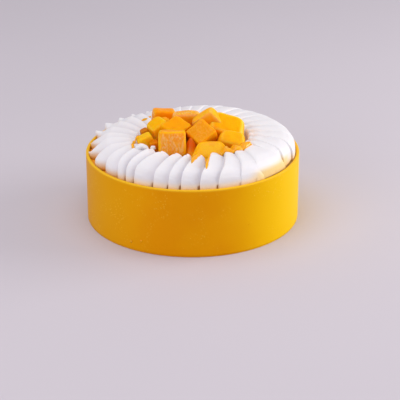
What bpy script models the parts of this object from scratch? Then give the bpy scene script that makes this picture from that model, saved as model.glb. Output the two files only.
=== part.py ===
"""A 16 cm round mango cake: a smooth yellow collar round the cake, a ring of piped
cream petals on top, and a heap of mango chunks in sauce in the middle.

Units are millimetres in the named values below and metres in the scene.
The origin is the centre of the cake's underside, +Z is up and -Y is the front.
"""
import math

import bmesh
import bpy
from mathutils import Euler, Matrix, Vector

MM = 0.001
FULL_TURN = 360
GAP = 0.3                     # clearance that touching pieces keep

COLLAR_RADIUS = 80.0          # outside of the collar, a 16 cm cake
COLLAR_HEIGHT = 52.0
COLLAR_WALL = 2.4
COLLAR_EDGE = 0.9             # rounding of the collar's top edge
EDGE_TURNS = (0, 45, 90)      # degrees round that rounding at which its points lie
ROUND_STEPS = 64              # facets round the cake

CAKE_TOP = 49.2               # the cake stops just below the collar's edge
CREAM_BASE = CAKE_TOP + GAP

CREAM_OUTER = COLLAR_RADIUS - COLLAR_WALL - GAP
CREAM_INNER = 39.6            # radius of the ring's inner ends

SAUCE_RADIUS = 37.6
SAUCE_LOBES = 9               # ripples of the sauce's edge
SAUCE_RISE = 10.0             # height of the sauce in the middle, over the cake
SAUCE_EDGE = 4.0              # and at its edge
SAUCE_RIPPLE = 1.2            # half the depth of the edge's ripples
SAUCE_STEPS = 36
SAUCE_SHARES = (0.4, 0.75, 1.0)   # how far out the dome's rings lie

# Each petal by the compass of its groove at the foot and at the inner tip, in degrees
# anticlockwise from +X, the radius its foot reaches, its crest's height, how far its middle
# bows sideways in degrees, how far its face falls towards the next groove as a share of the
# height, how pointed its foot is, and the foot's height as a share of the full height. They
# are piped by hand, so all of these wander.
PETALS = [
    (115.5, 119, 77.3, 13.0, 0, 0.28, 0.6, 0.55), (126, 129.5, 77.3, 13.0, 0, 0.32, 0.6, 0.60),
    (134.5, 139, 77.3, 12.8, 0, 0.38, 0.6, 0.60), (147, 150.5, 77.3, 13.0, 0, 0.42, 0.7, 0.66),
    (159, 162, 77.3, 13.2, 0, 0.44, 0.9, 0.58), (171.5, 173, 77.3, 13.6, 0, 0.42, 1.0, 0.28),
    (187.5, 187, 77.3, 15.0, -2, 0.34, 1.0, 0.36), (201, 198, 77.3, 15.8, 0, 0.28, 0.6, 0.30),
    (214, 204, 77.3, 16.6, 1, 0.22, 0.2, 0.10), (225, 212, 77.3, 16.8, 0, 0.17, 0, 0),
    (231, 221, 77.3, 17.0, 2, 0.16, 0, 0), (236, 232, 77.3, 17.0, 2, 0.15, 0, 0),
    (248, 248, 77.3, 17.0, 1.5, 0.14, 0, 0), (256.5, 262, 77.3, 17.0, 0, 0.14, 0, 0),
    (263, 271, 77.3, 17.0, 0, 0.14, 0, 0), (273, 283, 77.3, 17.0, 1, 0.12, 0, 0),
    (283, 299, 77.3, 16.8, 0, 0.09, 0, 0), (296, 309, 77.3, 16.8, -1, 0.07, 0, 0),
    (306, 319, 77.0, 16.8, -3, 0.06, 0, 0), (322, 332, 72.0, 16.4, -2, 0.06, 0, 0),
    (332, 344, 73.5, 16.2, -3, 0.04, 0, 0), (345, 356, 76.5, 15.8, -2, 0.03, 0, 0),
    (358, 368, 77.3, 15.4, -1, 0.025, 0, 0), (371, 380, 77.3, 15.1, 0, 0.025, 0, 0),
    (383, 391, 77.3, 14.8, 0, 0.025, 0, 0), (394, 401, 77.3, 14.6, 0, 0.03, 0, 0),
    (404.5, 411, 77.3, 14.4, 0, 0.05, 0, 0), (415, 422, 77.3, 14.4, 0, 0.08, 0, 0),
    (428.5, 435, 77.3, 14.2, 0, 0.10, 0, 0), (438, 445, 77.3, 13.8, 0, 0.14, 0, 0),
    (447, 453, 77.3, 13.6, 0, 0.18, 0.3, 0.2), (456, 461, 77.3, 13.4, 0, 0.22, 0.4, 0.4),
    (464.5, 469, 77.3, 13.2, 0, 0.25, 0.5, 0.5),
]

# A petal from its foot to its inner end: share of the way along, height as a share of the
# full height, then as shares of the spacing where its steep side starts, where its crest is
# and where its face ends, and how square-shouldered the face is.
PETAL_SECTIONS = [
    (0.00, 0.10, 0.24, 0.34, 0.46, 2.0),
    (0.015, 0.42, 0.10, 0.22, 0.74, 2.2),
    (0.05, 0.64, 0.03, 0.12, 0.94, 3.0),
    (0.10, 0.78, 0.00, 0.08, 1.08, 4.5),
    (0.20, 0.90, 0.00, 0.07, 1.30, 7.0),
    (0.40, 0.98, 0.00, 0.08, 1.45, 9.0),
    (0.62, 1.00, 0.00, 0.16, 1.45, 8.0),
    (0.84, 0.94, 0.00, 0.36, 1.35, 4.0),
    (0.95, 0.78, 0.05, 0.46, 1.15, 2.4),
    (1.00, 0.30, 0.30, 0.52, 0.75, 2.0),
]
STEEP_SIDE = ((0.0, 0.0), (0.5, 0.875))   # reach from the start to the crest, and height
FACE_REACH = (0.0, 0.4, 0.75, 0.95, 1.0)
POINT_WIDTH = 0.12            # a fully pointed foot's width as a share of a full one's
POINT_GROWTH = 2.2            # and how fast it widens on the way in
POINT_DROP = 0.5              # how much lower a fully pointed foot lies
POINT_LENGTH = 0.35           # share of the petal's length over which it lies lower
POINT_CREST = 0.10            # a fully pointed foot's crest, as a share of the spacing
SOFT_FALL = 0.12              # a petal whose face falls less than this has a softer crest
SOFT_SHIFT = 0.32             # and that crest lies this much further over
SOFT_GROWTH = 4.0             # it takes a quarter of the petal's length to get there

# Mango chunks: centre, edge lengths, turn in degrees about Z, then Y, then X, the size of the
# top as a share of the bottom, and the width of the far edge as a share of the near one.
CHUNKS = [
    ((-15.0, -22.0, 65.3), (21.2, 17.0, 19.0), (2, 0, -14), 0.96, 1.0),
    ((-12.0, -8.5, 69.0), (18.8, 18.8, 14.0), (45, 0, 20), 0.92, 1.0),
    ((6.6, -14.5, 67.6), (19.0, 18.5, 15.0), (43, -4, 36), 0.92, 1.0),
    ((26.2, 4.0, 66.0), (30.5, 22.0, 16.0), (-12, 12, 34), 0.86, 0.80),
    ((13.5, -32.0, 62.6), (32.0, 16.0, 6.5), (3, 3, 40), 0.92, 0.5),
    ((29.0, -15.0, 63.5), (24.5, 17.0, 13.0), (-8, 10, 30), 0.84, 0.85),
    ((-25.0, -0.5, 68.0), (18.0, 18.0, 15.0), (32, -22, 16), 0.80, 0.9),
    ((-34.4, -14.5, 62.6), (15.0, 13.0, 13.0), (14, -20, 8), 0.76, 1.0),
    ((-22.0, 22.5, 65.0), (20.0, 14.0, 20.0), (8, 4, -4), 0.84, 1.0),
    ((12.5, 4.0, 70.0), (22.0, 11.0, 21.0), (-6, -38, 6), 0.90, 1.0),
    ((-4.6, 11.0, 68.4), (23.0, 11.0, 18.0), (4, 0, 0), 0.92, 1.0),
    ((16.0, 27.0, 60.5), (20.0, 14.0, 16.0), (20, 6, 0), 0.85, 1.0),
    ((-20.3, 1.5, 70.0), (8.5, 9.0, 13.0), (30, 0, 0), 0.75, 1.0),
    ((-28.0, -20.0, 59.5), (9.0, 9.0, 14.0), (12, -8, 0), 0.85, 1.0),
    ((-34.8, -2.0, 64.0), (8.0, 9.0, 10.0), (20, -20, 0), 0.75, 1.0),
]
CHUNK_ROUNDING = 1.8
ROUNDING_STEPS = 2


def clear_scene():
    for old in list(bpy.data.objects):
        bpy.data.objects.remove(old, do_unlink=True)


def material(name, colour, roughness):
    made = bpy.data.materials.new(name)
    made.use_nodes = True
    shader = made.node_tree.nodes["Principled BSDF"]
    shader.inputs["Base Color"].default_value = (*colour, 1.0)
    shader.inputs["Roughness"].default_value = roughness
    shader.inputs["Metallic"].default_value = 0.0
    return made


def add_object(name, mesh, made):
    body = bpy.data.objects.new(name, mesh)
    bpy.context.scene.collection.objects.link(body)
    mesh.materials.clear()
    mesh.materials.append(made)
    return body


def mesh_from(name, work):
    bmesh.ops.recalc_face_normals(work, faces=work.faces)
    mesh = bpy.data.meshes.new(name)
    work.to_mesh(mesh)
    work.free()
    return mesh


def turned(name, profile, made):
    """A closed ring or disc: (radius, height) points in order, turned about Z."""
    work = bmesh.new()
    rings = []
    for radius, height in profile:
        if radius == 0.0:
            rings.append([work.verts.new((0, 0, height * MM))])
            continue
        ring = []
        for step in range(ROUND_STEPS):
            angle = math.tau * step / ROUND_STEPS
            spot = (radius * MM * math.cos(angle), radius * MM * math.sin(angle), height * MM)
            ring.append(work.verts.new(spot))
        rings.append(ring)
    pairs = list(zip(rings, rings[1:]))
    if profile[0][0] != 0.0:
        pairs.append((rings[-1], rings[0]))
    for low, high in pairs:
        for step in range(ROUND_STEPS):
            after = (step + 1) % ROUND_STEPS
            if len(low) == 1:
                work.faces.new((low[0], high[after], high[step]))
            elif len(high) == 1:
                work.faces.new((low[step], low[after], high[0]))
            else:
                work.faces.new((low[step], low[after], high[after], high[step]))
    return add_object(name, mesh_from(name, work), made)


def collar_profile():
    """Wall section: square foot, half-round-cornered top."""
    inner = COLLAR_RADIUS - COLLAR_WALL
    points = [(inner, 0.0), (COLLAR_RADIUS, 0.0)]
    for degrees in EDGE_TURNS:
        angle = math.radians(degrees)
        points.append((COLLAR_RADIUS - COLLAR_EDGE * (1 - math.cos(angle)),
                       COLLAR_HEIGHT - COLLAR_EDGE * (1 - math.sin(angle))))
    for degrees in reversed(EDGE_TURNS):
        angle = math.radians(degrees)
        points.append((inner + COLLAR_EDGE * (1 - math.cos(angle)),
                       COLLAR_HEIGHT - COLLAR_EDGE * (1 - math.sin(angle))))
    return points


def petal_ring(petal, foot_gap, tip_gap, section):
    """One ring of a petal, an arc round the cake's middle: up the steep side to the crest,
    across the falling face, and back along the base."""
    foot, tip, reach_out, full_height, bow, fall, point, nose = petal
    share, rise, start, crest, finish, shoulder = section
    radius = reach_out + (CREAM_INNER - reach_out) * share
    groove = foot + (tip - foot) * share + bow * math.sin(math.pi * share)
    gap = foot_gap + (tip_gap - foot_gap) * share
    rise *= 1 - POINT_DROP * point * max(0.0, 1 - share / POINT_LENGTH)
    if share < POINT_LENGTH:
        rise = max(rise, nose)
        start *= 1 - point
        crest -= max(0.0, crest - POINT_CREST) * point
    soft = max(0.0, 1 - fall / SOFT_FALL)
    crest += SOFT_SHIFT * soft * (1 - crest) * min(SOFT_GROWTH * share, 1.0)
    width = min(1 - (1 - POINT_WIDTH) * point + POINT_GROWTH * share, 1.0)
    finish = crest + (finish - crest) * width
    outline = [(start + (crest - start) * reach, level) for reach, level in STEEP_SIDE]
    for reach in FACE_REACH:
        across = crest + (finish - crest) * reach
        drop = 1 - fall * max(0.0, (across - crest) / (1 - crest))
        outline.append((across, drop * math.sqrt(1 - reach ** shoulder)))
    ring = []
    for across, level in outline:
        angle = math.radians(groove + across * gap)
        ring.append((radius * MM * math.cos(angle), radius * MM * math.sin(angle),
                     (CREAM_BASE + level * rise * full_height) * MM))
    return ring


def petal_mesh(petal, foot_gap, tip_gap):
    """One piped petal, lofted from its foot to its rounded inner end."""
    work = bmesh.new()
    rings = []
    for section in PETAL_SECTIONS:
        ring = petal_ring(petal, foot_gap, tip_gap, section)
        rings.append([work.verts.new(spot) for spot in ring])
    count = len(rings[0])
    for low, high in zip(rings, rings[1:]):
        for step in range(count):
            after = (step + 1) % count
            work.faces.new((low[step], low[after], high[after], high[step]))
    work.faces.new(rings[0])
    work.faces.new(rings[-1])
    bmesh.ops.triangulate(work, faces=work.faces)
    return mesh_from("petal", work)


def boolean(body, operation, others):
    """Apply one Boolean of the other meshes to the body, and drop them."""
    group = bpy.data.collections.new("operands")
    bpy.context.scene.collection.children.link(group)
    for mesh in others:
        group.objects.link(bpy.data.objects.new("operand", mesh))
    step = body.modifiers.new("boolean", "BOOLEAN")
    step.operation = operation
    step.operand_type = "COLLECTION"
    step.collection = group
    step.solver = "EXACT"
    seen = body.evaluated_get(bpy.context.evaluated_depsgraph_get())
    whole = bpy.data.meshes.new_from_object(seen)
    made = body.data.materials[0]
    body.modifiers.clear()
    body.data = whole
    whole.materials.clear()
    whole.materials.append(made)
    for used in list(group.objects):
        bpy.data.objects.remove(used, do_unlink=True)
    bpy.data.collections.remove(group)


def piped_cream(made):
    """The ring of petals, each spaced by the grooves of the next."""
    meshes = []
    for number, petal in enumerate(PETALS):
        following = PETALS[(number + 1) % len(PETALS)]
        lap = FULL_TURN if number == len(PETALS) - 1 else 0
        meshes.append(petal_mesh(petal, following[0] + lap - petal[0],
                                 following[1] + lap - petal[1]))
    body = add_object("piped_cream", meshes[0], made)
    boolean(body, "UNION", meshes[1:])
    return body


def sauce_mesh(extra):
    """The pool of sauce under the chunks: a low dome with a rippled edge."""
    work = bmesh.new()
    top = work.verts.new((0, 0, (CREAM_BASE + SAUCE_RISE + extra) * MM))
    under = work.verts.new((0, 0, CREAM_BASE * MM))
    rings = []
    for share in SAUCE_SHARES:
        ring = []
        for step in range(SAUCE_STEPS):
            angle = math.tau * step / SAUCE_STEPS
            radius = (SAUCE_RADIUS + extra) * share
            if share == 1.0:
                radius -= SAUCE_RIPPLE * (1 + math.cos(SAUCE_LOBES * angle))
            height = SAUCE_EDGE + (SAUCE_RISE - SAUCE_EDGE) * (1 - share * share) + extra
            ring.append(work.verts.new((radius * MM * math.cos(angle),
                                        radius * MM * math.sin(angle),
                                        (CREAM_BASE + height) * MM)))
        rings.append(ring)
    rings.append([work.verts.new((v.co.x, v.co.y, CREAM_BASE * MM)) for v in rings[-1]])
    for step in range(SAUCE_STEPS):
        after = (step + 1) % SAUCE_STEPS
        work.faces.new((top, rings[0][step], rings[0][after]))
        work.faces.new((under, rings[-1][after], rings[-1][step]))
        for low, high in zip(rings, rings[1:]):
            work.faces.new((low[step], high[step], high[after], low[after]))
    bmesh.ops.triangulate(work, faces=work.faces)
    return mesh_from("mango_sauce", work)


def chunk_mesh(place, size, turn, taper, far, extra):
    """A cut block of mango with softened edges, bigger all round by the extra."""
    work = bmesh.new()
    bmesh.ops.create_cube(work, size=1.0)
    for vert in work.verts:
        narrow = taper if vert.co.z > 0 else 1.0
        pinch = far if vert.co.y > 0 else 1.0
        vert.co = Vector((vert.co.x * (size[0] * narrow * pinch + 2 * extra),
                          vert.co.y * (size[1] * narrow + 2 * extra),
                          vert.co.z * (size[2] + 2 * extra)))
    bmesh.ops.bevel(work, geom=list(work.edges), offset=CHUNK_ROUNDING, offset_type="OFFSET",
                    segments=ROUNDING_STEPS, profile=0.5, affect="EDGES")
    about_z, about_y, about_x = [math.radians(degrees) for degrees in turn]
    spin = Euler((about_x, about_y, about_z), "ZYX").to_matrix().to_4x4()
    bmesh.ops.transform(work, matrix=Matrix.Translation(place) @ spin, verts=work.verts)
    bmesh.ops.scale(work, vec=(MM, MM, MM), verts=work.verts)
    bmesh.ops.triangulate(work, faces=work.faces)
    return mesh_from("mango_chunk", work)


def mango_chunks(made):
    """The heap: each chunk gives way to the sauce and to the chunks before it."""
    for number, chunk in enumerate(CHUNKS):
        body = add_object(f"mango_chunk_{number + 1:02d}", chunk_mesh(*chunk, 0.0), made)
        before = [chunk_mesh(*other, GAP) for other in CHUNKS[:number]]
        boolean(body, "DIFFERENCE", [sauce_mesh(GAP)] + before)


clear_scene()
yellow = material("mango glaze", (0.83, 0.42, 0.0), 0.4)
sponge = material("cream filling", (0.86, 0.62, 0.25), 0.6)
white = material("whipped cream", (0.86, 0.85, 0.83), 0.5)
sauce = material("mango sauce", (0.80, 0.30, 0.0), 0.25)
fruit = material("mango flesh", (0.87, 0.38, 0.02), 0.35)
turned("collar", collar_profile(), yellow)
turned("cake_body", [(0.0, 0.0), (CREAM_OUTER, 0.0), (CREAM_OUTER, CAKE_TOP), (0.0, CAKE_TOP)], sponge)
cream = piped_cream(white)
add_object("mango_sauce", sauce_mesh(0.0), sauce)
mango_chunks(fruit)
boolean(cream, "DIFFERENCE", [chunk_mesh(*chunk, GAP) for chunk in CHUNKS])
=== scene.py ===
"""A 16 cm mango cake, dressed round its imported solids: a satin yellow collar, a ring of
piped cream petals, and a heap of mango chunks in sauce.

Sizes are millimetres in the named values and metres in the scene. The origin is the
centre of the cake's underside, +Z is up and -Y is the front.
"""

import math

import bpy
import numpy as np
from mathutils import Euler, Matrix, Vector


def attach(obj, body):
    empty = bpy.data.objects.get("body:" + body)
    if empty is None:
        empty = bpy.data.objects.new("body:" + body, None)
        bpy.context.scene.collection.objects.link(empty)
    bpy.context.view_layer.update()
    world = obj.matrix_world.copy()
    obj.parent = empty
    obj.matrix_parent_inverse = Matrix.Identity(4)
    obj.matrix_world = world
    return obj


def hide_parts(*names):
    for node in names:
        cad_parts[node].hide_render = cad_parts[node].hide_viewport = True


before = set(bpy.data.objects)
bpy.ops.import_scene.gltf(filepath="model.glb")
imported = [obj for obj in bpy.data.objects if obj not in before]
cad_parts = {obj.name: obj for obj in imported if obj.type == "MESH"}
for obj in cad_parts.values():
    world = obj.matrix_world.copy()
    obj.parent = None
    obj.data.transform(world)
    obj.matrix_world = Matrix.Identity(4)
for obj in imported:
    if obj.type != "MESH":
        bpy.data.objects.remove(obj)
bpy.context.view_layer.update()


# The cake layer: soft mango cream over sponge, set in a ring mould. Only its top shows,
# where the piped petals stand apart, with the shallow sweeps of the palette knife.
MM = 0.001
CAKE_RADIUS = 77.3
CAKE_TOP = 49.2
CAKE_EDGE = 0.5               # its top edge is cut back by this much
CAKE_FOOT = 1.0               # and its bottom edge by this much
CAKE_STEPS = 192
KNIFE_SWEEPS = 7              # shallow waves left by the knife
KNIFE_CURL = 2.4              # and how far they curl on their way out
KNIFE_DEPTH = 0.25
KNIFE_BAND = 1.2              # points this near its top are swept down by them


def srgb(code):
    """An sRGB hex colour as linear RGBA: the sRGB transfer curve undone channel by channel."""
    parts = np.array([int(code[i:i + 2], 16) for i in (1, 3, 5)]) / 255
    linear = np.where(parts <= 0.04045, parts / 12.92, ((parts + 0.055) / 1.055) ** 2.4)
    return (*[float(part) for part in linear], 1.0)


# A node that mixes colours takes its factor and its two colours by these inputs, and gives
# the mixture by this output.
FACTOR, FIRST, SECOND, MIXED = 0, 6, 7, 2


def add_node(tree, kind, inputs=None, **settings):
    """Adds a shader node: settings are its own properties, and each input is given by name or
    number, either as a value or as the output that feeds it."""
    made = tree.nodes.new("ShaderNode" + kind)
    for name, value in settings.items():
        setattr(made, name, value)
    for name, value in (inputs or {}).items():
        if isinstance(value, bpy.types.NodeSocket):
            tree.links.new(value, made.inputs[name])
        else:
            made.inputs[name].default_value = value
    return made


def per(size):
    """How many repeats of a pattern fit in a metre, for one of this many millimetres."""
    return 1 / (size * MM)


def new_material(name, **sockets):
    """A material whose shader sockets hold these constants, with words joined by underscores."""
    made = bpy.data.materials.new(name)
    made.use_nodes = True
    shader = made.node_tree.nodes["Principled BSDF"]
    for socket, value in sockets.items():
        shader.inputs[socket.replace("_", " ")].default_value = value
    return made, made.node_tree, shader


def closed_surface(name, rings, made, joined=False):
    """A closed skin over a grid of points in millimetres. Each row is a closed ring of points
    and each ring is sewn to the next; the two end rings are sewn together, or each is closed
    by a fan round its middle. The faces are turned over if the volume comes out negative."""
    rows, cols = rings.shape[:2]
    points = rings.reshape(-1, 3)
    row = np.arange(rows if joined else rows - 1)[:, None]
    col = np.arange(cols)[None, :]
    after, beside = (row + 1) % rows, (col + 1) % cols
    quads = np.stack([row * cols + col, row * cols + beside,
                      after * cols + beside, after * cols + col], -1).reshape(-1, 4)
    faces = [*quads.tolist()]
    corners = [quads[:, [0, 1, 2]], quads[:, [0, 2, 3]]]
    if not joined:
        points = np.vstack([points, rings[0].mean(0), rings[-1].mean(0)])
        here = np.arange(cols)
        there = (here + 1) % cols
        last = (rows - 1) * cols
        fans = [np.stack([np.full(cols, rows * cols), there, here], -1),
                np.stack([np.full(cols, rows * cols + 1), last + here, last + there], -1)]
        corners += fans
        faces += [*fans[0].tolist(), *fans[1].tolist()]
    tris = points[np.vstack(corners)]
    if np.einsum("ij,ij->i", tris[:, 0], np.cross(tris[:, 1], tris[:, 2])).sum() < 0:
        faces = [face[::-1] for face in faces]
    mesh = bpy.data.meshes.new(name)
    mesh.from_pydata(points * MM, [], faces)
    mesh.shade_smooth()
    mesh.materials.append(made)
    piece = bpy.data.objects.new(name, mesh)
    bpy.context.scene.collection.objects.link(piece)
    return piece


def lathe(profile, steps):
    """A profile of (radius, height) pairs turned about Z: a row for each pair, and a point
    for each step round the circle."""
    angle = np.arange(steps) / steps * math.tau
    radius, height = np.asarray(profile, float).T
    return np.stack([radius[:, None] * np.cos(angle), radius[:, None] * np.sin(angle),
                     np.broadcast_to(height[:, None], (len(height), steps))], -1)


def waves(points, wavelength, seed, count=5):
    """Soft unevenness between -1 and 1: the mean of plane waves in random directions."""
    draw = np.random.default_rng(seed)
    ways = draw.normal(size=(count, 3))
    ways /= np.linalg.norm(ways, axis=1)[:, None]
    phases = draw.uniform(0, math.tau, count)
    stretch = draw.uniform(0.7, 1.4, count)
    turns = points @ (ways * (stretch * math.tau / wavelength)[:, None]).T
    return np.sin(turns + phases).mean(-1)


# Soft and matt, a little mottled where pulp shows through, and turned orange at the left as
# painted shade: the gaps between the petals there lie in shade, warmed by the collar's bounce.
filling, tree, shader = new_material("mango cream, spread", Roughness=0.55)
where = add_node(tree, "TexCoord").outputs["Object"]
mottle = add_node(tree, "TexNoise", {"Vector": where, "Scale": per(4.2), "Detail": 3.0})
spread = add_node(tree, "Mix", {FACTOR: mottle.outputs[0], FIRST: srgb("#E8C266"),
                                SECOND: srgb("#EFD48E")}, data_type="RGBA")
across = add_node(tree, "SeparateXYZ", {0: where}).outputs["X"]
# Painted shade: the top turns orange towards the left, where the gaps between petals lie in shade.
left_gap_shade = add_node(tree, "MapRange", {"Value": across, "From Min": -40 * MM, "From Max": -60 * MM},
                    interpolation_type="SMOOTHSTEP")
top = add_node(tree, "Mix", {FACTOR: left_gap_shade.outputs[0], FIRST: spread.outputs[MIXED],
                             SECOND: srgb("#EE9A00")}, data_type="RGBA")
tree.links.new(top.outputs[MIXED], shader.inputs["Base Color"])
grain = add_node(tree, "Bump", {"Height": mottle.outputs[0], "Distance": 0.3 * MM})
tree.links.new(grain.outputs[0], shader.inputs["Normal"])

# A turned profile; its top is lowered by a sine of the way round that curls with the radius.
side = [(radius, 0.0) for radius in (20.0, 50.0, CAKE_RADIUS - CAKE_FOOT)]
side += [(CAKE_RADIUS, CAKE_FOOT), (CAKE_RADIUS, 24.0)]
side += [(CAKE_RADIUS, CAKE_TOP - CAKE_EDGE), (CAKE_RADIUS - CAKE_EDGE, CAKE_TOP)]
side += [(radius, CAKE_TOP) for radius in np.linspace(76.0, 1.0, 60)]
layer = lathe(side, CAKE_STEPS)
turn = np.arctan2(layer[..., 1], layer[..., 0])
reach = np.hypot(layer[..., 0], layer[..., 1]) / CAKE_RADIUS
sweep = np.sin(KNIFE_SWEEPS * (turn + KNIFE_CURL * reach)) * reach
swept = KNIFE_DEPTH * (1 - sweep) / 2
layer[..., 2] -= np.where(layer[..., 2] > CAKE_TOP - KNIFE_BAND, swept, 0.0)
cake_layer = closed_surface("cake_layer", layer, filling)
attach(cake_layer, "root")
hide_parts("cake_body")


# The collar: a smooth band of set mango glaze round the cake, poured against acetate film,
# so it is satin outside with a rounded lip. Fine condensation dots it.
COLLAR_RADIUS = 80.0
COLLAR_HEIGHT = 52.0
COLLAR_WALL = 2.4
COLLAR_LIP = 0.9
COLLAR_STEPS = 400
LIP_STEPS = 7
LIP_SAG = 0.18                # the lip isn't quite level
LIP_WAVE = 70.0               # over waves this long
LIP_SEED = 5
WALL_SWELL = 0.10             # nor is the wall quite round
WALL_WAVE = 60.0
WALL_SEED = 3
WALL_FOOT = 0.3               # its bottom edge is rounded off
SAG_FROM = 12.0               # the sag starts this far under the lip
SAG_OVER = 10.0               # and is full this much higher

# Satin, and slightly cloudy in its orange. Painted light: it is a little lighter towards its left
# side and yellower towards its right, where the light falls, and palest on its lip, a painted
# highlight. The dew is drawn coarser than it is, so that it shows.
DEW_SPACING = 1.9
DEW_PATCH = 16.7

glaze, tree, shader = new_material(
    "set mango glaze, film smooth", Roughness=0.42, Specular_IOR_Level=0.05)
where = add_node(tree, "TexCoord").outputs["Object"]
place = add_node(tree, "SeparateXYZ", {0: where}).outputs
cloud = add_node(tree, "TexNoise", {"Vector": where, "Scale": per(45), "Detail": 2.0})
cloudy = add_node(tree, "MapRange", {"Value": cloud.outputs[0], "From Min": 0.35,
                                     "From Max": 0.65}, interpolation_type="SMOOTHSTEP")
body = add_node(tree, "Mix", {FACTOR: cloudy.outputs[0], FIRST: srgb("#E69500"),
                              SECOND: srgb("#EA9D00")}, data_type="RGBA")
# Painted light: lighter towards the left, yellower towards the lit right, and a painted highlight
# along the lip.
for axis, start, end, colour in (("X", -20.0, -75.0, "#E8A404"), ("X", 8.0, 80.0, "#F5C600"),
                                 ("Z", 50.0, 51.8, "#F2BC28")):
    share = add_node(tree, "MapRange", {"Value": place[axis], "From Min": start * MM,
                                        "From Max": end * MM}, interpolation_type="SMOOTHSTEP")
    body = add_node(tree, "Mix", {FACTOR: share.outputs[0], FIRST: body.outputs[MIXED],
                                  SECOND: srgb(colour)}, data_type="RGBA")
dew = add_node(tree, "TexVoronoi", {"Vector": where, "Scale": per(DEW_SPACING)})
drops = add_node(tree, "MapRange", {"Value": dew.outputs["Distance"], "From Min": 0.30,
                                    "From Max": 0.12}, interpolation_type="SMOOTHSTEP")
patch = add_node(tree, "TexNoise", {"Vector": where, "Scale": per(DEW_PATCH), "Detail": 2.0})
patches = add_node(tree, "MapRange", {"Value": patch.outputs[0], "From Min": 0.48,
                                      "From Max": 0.70}, interpolation_type="SMOOTHSTEP")
dots = add_node(tree, "Math", {0: drops.outputs[0], 1: patches.outputs[0]}, operation="MULTIPLY")
faint = add_node(tree, "Math", {0: dots.outputs[0], 1: 0.7}, operation="MULTIPLY")
dewy = add_node(tree, "Mix", {FACTOR: faint.outputs[0], FIRST: body.outputs[MIXED],
                              SECOND: srgb("#FFCB3C")}, data_type="RGBA")
tree.links.new(dewy.outputs[MIXED], shader.inputs["Base Color"])
film = add_node(tree, "TexNoise", {"Vector": where, "Scale": per(2), "Detail": 2.0})
satin = add_node(tree, "Bump", {"Height": film.outputs[0], "Distance": 0.05 * MM,
                                "Strength": 0.6})
beads = add_node(tree, "Bump", {"Height": dots.outputs[0], "Distance": 0.2 * MM, "Strength": 0.7,
                                "Normal": satin.outputs[0]})
tree.links.new(beads.outputs[0], shader.inputs["Normal"])

# A turned profile: two walls joined over the lip by two quarter circles.
bend = np.linspace(0, math.pi / 2, LIP_STEPS)
inner = COLLAR_RADIUS - COLLAR_WALL
profile = [(inner, height) for height in (46.0, 30.0, 12.0, WALL_FOOT)]
profile += [(inner + WALL_FOOT, 0.0), (COLLAR_RADIUS - WALL_FOOT, 0.0)]
profile += [(COLLAR_RADIUS, height) for height in np.linspace(WALL_FOOT, COLLAR_HEIGHT - 2, 26)]
profile += list(zip(COLLAR_RADIUS - COLLAR_LIP * (1 - np.cos(bend)),
                    COLLAR_HEIGHT - COLLAR_LIP * (1 - np.sin(bend))))
profile += list(zip(inner + COLLAR_LIP * (1 - np.sin(bend)),
                    COLLAR_HEIGHT - COLLAR_LIP * (1 - np.cos(bend))))
band = lathe(profile, COLLAR_STEPS)
swell = 1 - WALL_SWELL * (1 + waves(band, WALL_WAVE, WALL_SEED)) / 2 / COLLAR_RADIUS
band[..., :2] *= swell[..., None]
high = np.clip((band[..., 2] - (COLLAR_HEIGHT - SAG_FROM)) / SAG_OVER, 0, 1)
band[..., 2] -= high * LIP_SAG * (1 + waves(band * (1, 1, 0), LIP_WAVE, LIP_SEED)) / 2
collar = closed_surface("glaze_collar", band, glaze, joined=True)
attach(collar, "root")
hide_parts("collar")


# The piped ring: whipped cream petals squeezed from a slit nozzle, each from its foot at the
# rim to its end round the fruit, laid one over the next the whole way round.
CREAM_BASE = 49.5             # the ring sits just clear of the cake's top
CREAM_INNER = 39.6            # radius of its petals' inner ends

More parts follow.
